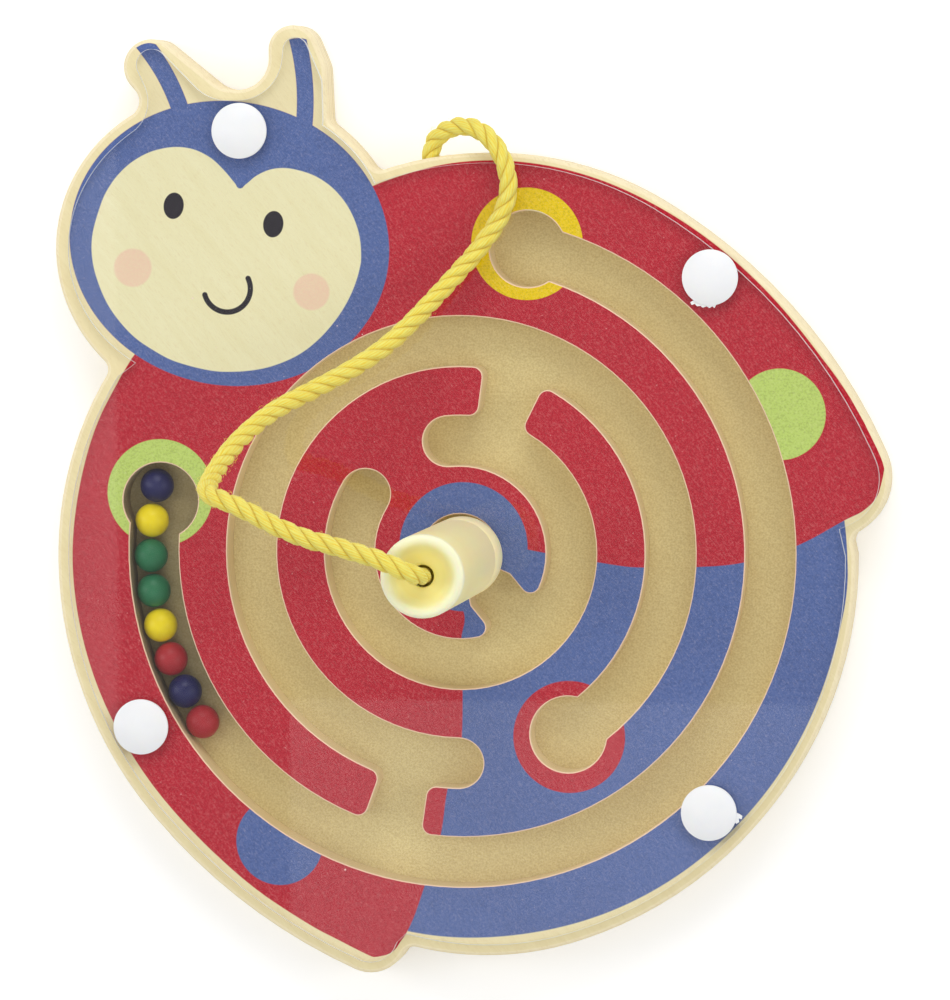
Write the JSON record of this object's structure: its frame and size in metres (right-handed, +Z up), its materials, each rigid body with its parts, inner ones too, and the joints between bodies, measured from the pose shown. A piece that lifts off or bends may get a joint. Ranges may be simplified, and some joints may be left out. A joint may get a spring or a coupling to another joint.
{
  "type": "magnetic bead maze",
  "caption": "Ladybird-shaped plywood bead maze: steel beads in ring channels under a clear riveted cover, moved by a magnet wand tethered on a twisted cord.",
  "frame": {"origin": "centre of the maze on the board's flat underside", "axes": "+X to the right and +Y towards the feelers as the board is looked down on, +Z up out of the clear cover"},
  "size_m": [0.2025, 0.2293, 0.0932],
  "materials": {
    "plywood": "bare birch plywood",
    "printed_plywood": "satin print on plywood",
    "clear_acrylic": "gloss",
    "rivet_nylon": "satin",
    "bead_blue": "gloss",
    "bead_yellow": "gloss",
    "bead_green": "gloss",
    "bead_red": "gloss",
    "wand_plastic": "satin",
    "magnet": "plated",
    "cord": "twisted"
  },
  "bodies": {
    "board": {"base_board": "plywood", "maze_board": "printed_plywood", "clear_cover": "clear_acrylic", "rivet_front_1": "rivet_nylon", "rivet_front_2": "rivet_nylon", "rivet_front_3": "rivet_nylon", "rivet_front_4": "rivet_nylon", "rivet_back_1": "rivet_nylon", "rivet_back_2": "rivet_nylon", "rivet_back_3": "rivet_nylon", "rivet_back_4": "rivet_nylon"},
    "bead_1": {"bead_1": "bead_blue"},
    "bead_2": {"bead_2": "bead_yellow"},
    "bead_3": {"bead_3": "bead_green"},
    "bead_4": {"bead_4": "bead_green"},
    "bead_5": {"bead_5": "bead_yellow"},
    "bead_6": {"bead_6": "bead_red"},
    "bead_7": {"bead_7": "bead_blue"},
    "bead_8": {"bead_8": "bead_red"},
    "tether": {"tether_cord": "cord"},
    "wand": {"wand_barrel": "wand_plastic", "wand_end_cap": "wand_plastic", "wand_magnet": "magnet", "cord_knot": "cord"}
  },
  "joints": [
    {"name": "bead_1_roll", "type": "hinge", "parent": "board", "child": "bead_1", "pos_m": [0, 0, 0.0082], "axis": [0, 0, 1], "range_deg": [0, 15]},
    {"name": "bead_2_roll", "type": "hinge", "parent": "bead_1", "child": "bead_2", "pos_m": [0, 0, 0.0082], "axis": [0, 0, 1], "range_deg": [0, 15]},
    {"name": "bead_3_roll", "type": "hinge", "parent": "bead_2", "child": "bead_3", "pos_m": [0, 0, 0.0082], "axis": [0, 0, 1], "range_deg": [0, 15]},
    {"name": "bead_4_roll", "type": "hinge", "parent": "bead_3", "child": "bead_4", "pos_m": [0, 0, 0.0082], "axis": [0, 0, 1], "range_deg": [0, 15]},
    {"name": "bead_5_roll", "type": "hinge", "parent": "bead_4", "child": "bead_5", "pos_m": [0, 0, 0.0082], "axis": [0, 0, 1], "range_deg": [0, 15]},
    {"name": "bead_6_roll", "type": "hinge", "parent": "bead_5", "child": "bead_6", "pos_m": [0, 0, 0.0082], "axis": [0, 0, 1], "range_deg": [0, 15]},
    {"name": "bead_7_roll", "type": "hinge", "parent": "bead_6", "child": "bead_7", "pos_m": [0, 0, 0.0082], "axis": [0, 0, 1], "range_deg": [0, 15]},
    {"name": "bead_8_roll", "type": "hinge", "parent": "bead_7", "child": "bead_8", "pos_m": [0, 0, 0.0082], "axis": [0, 0, 1], "range_deg": [0, 120]},
    {"name": "tether_swing", "type": "hinge", "parent": "board", "child": "tether", "pos_m": [-0.0076, 0.0952, 0.0152], "axis": [0, 0, 1], "range_deg": [-40, 35], "deforming": ["tether_cord"]},
    {"name": "wand_slide", "type": "slide", "parent": "tether", "child": "wand", "axis": [0.0882, -0.9961, 0], "range_m": [-0.045, 0.035], "deforming": ["tether_cord"]}
  ]
}
